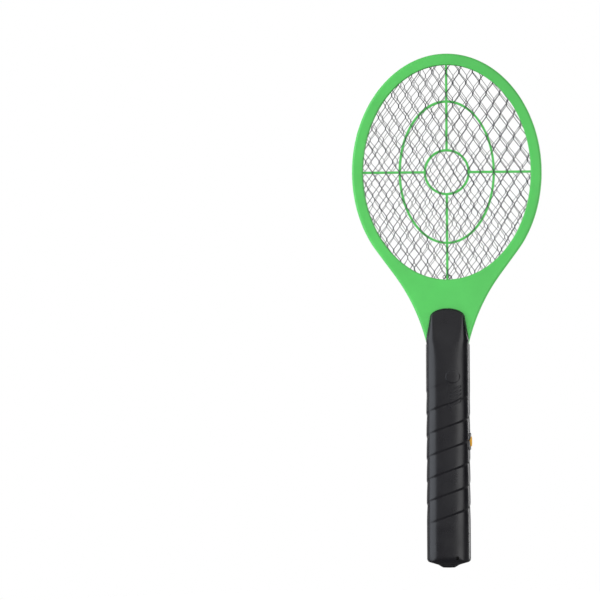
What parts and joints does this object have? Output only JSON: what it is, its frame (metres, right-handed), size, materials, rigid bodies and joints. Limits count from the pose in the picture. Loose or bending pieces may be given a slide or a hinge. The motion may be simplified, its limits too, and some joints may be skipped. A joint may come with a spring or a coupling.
{
  "type": "electric fly swatter",
  "caption": "Racket-shaped hand-held insect zapper: oval rim with layered diamond meshes on a tapering neck, and a grooved battery handle with a side push button and a sliding battery cover.",
  "frame": {"origin": "middle of the hand grip, on the handle's axis, in the plane where the front and rear mouldings meet", "axes": "+Z along the handle towards the head, -Y out of the front face with the tongue, +X towards the side with the push button"},
  "size_m": [0.169, 0.0284, 0.4577],
  "materials": {
    "green_plastic": "semi-gloss moulded ABS",
    "black_plastic": "satin moulded ABS",
    "yellow_plastic": "moulded ABS",
    "mesh_wire": "darkened aluminium or steel mesh",
    "screw_steel": "zinc-plated steel",
    "spring_steel": "nickel-plated spring steel",
    "contact_metal": "nickel-plated contact sheet",
    "board": "phenolic circuit board",
    "ferrite": "sintered ferrite",
    "winding_tape": "copper winding under yellow tape",
    "capacitor_film": "dipped film capacitor",
    "component_case": "moulded component case",
    "resistor_case": "lacquered resistor",
    "cell_jacket": "plain printed sleeve over a steel can",
    "switch_case": "moulded switch case",
    "lead_red": "PVC insulated lead",
    "lead_black": "PVC insulated lead"
  },
  "bodies": {
    "swatter": {"front_frame": "green_plastic", "rear_frame": "green_plastic", "front_spacer_grid": "green_plastic", "rear_spacer_grid": "green_plastic", "front_mesh": "mesh_wire", "centre_mesh": "mesh_wire", "rear_mesh": "mesh_wire", "mesh_terminals": "spring_steel", "head_screws": "screw_steel", "handle_screws": "screw_steel", "board_screws": "screw_steel", "handle_front_shell": "black_plastic", "handle_rear_shell": "black_plastic", "switch_body": "switch_case", "button_spring": "spring_steel", "battery_springs": "spring_steel", "positive_contact": "contact_metal", "negative_contact": "contact_metal", "bridge_contact": "contact_metal", "aa_cell_left": "cell_jacket", "aa_cell_right": "cell_jacket", "circuit_board": "board", "transformer_core": "ferrite", "transformer_winding": "winding_tape", "high_voltage_capacitor": "capacitor_film", "multiplier_diodes": "component_case", "resistors": "resistor_case", "switching_transistor": "component_case", "high_voltage_lead": "lead_red", "ground_lead": "lead_black", "battery_lead_positive": "lead_red", "battery_lead_negative": "lead_black"},
    "button": {"push_button": "yellow_plastic", "switch_plunger": "switch_case"},
    "door": {"battery_door": "black_plastic"}
  },
  "joints": [
    {"name": "button_press", "type": "slide", "parent": "swatter", "child": "button", "axis": [-1, 0, 0], "range_m": [0, 0.0015], "stiffness_N_per_m": 800, "springref_m": -0.0006, "deforming": ["button_spring"]},
    {"name": "battery_door_slide", "type": "slide", "parent": "swatter", "child": "door", "axis": [0, 0, -1], "range_m": [0, 0.06]}
  ]
}
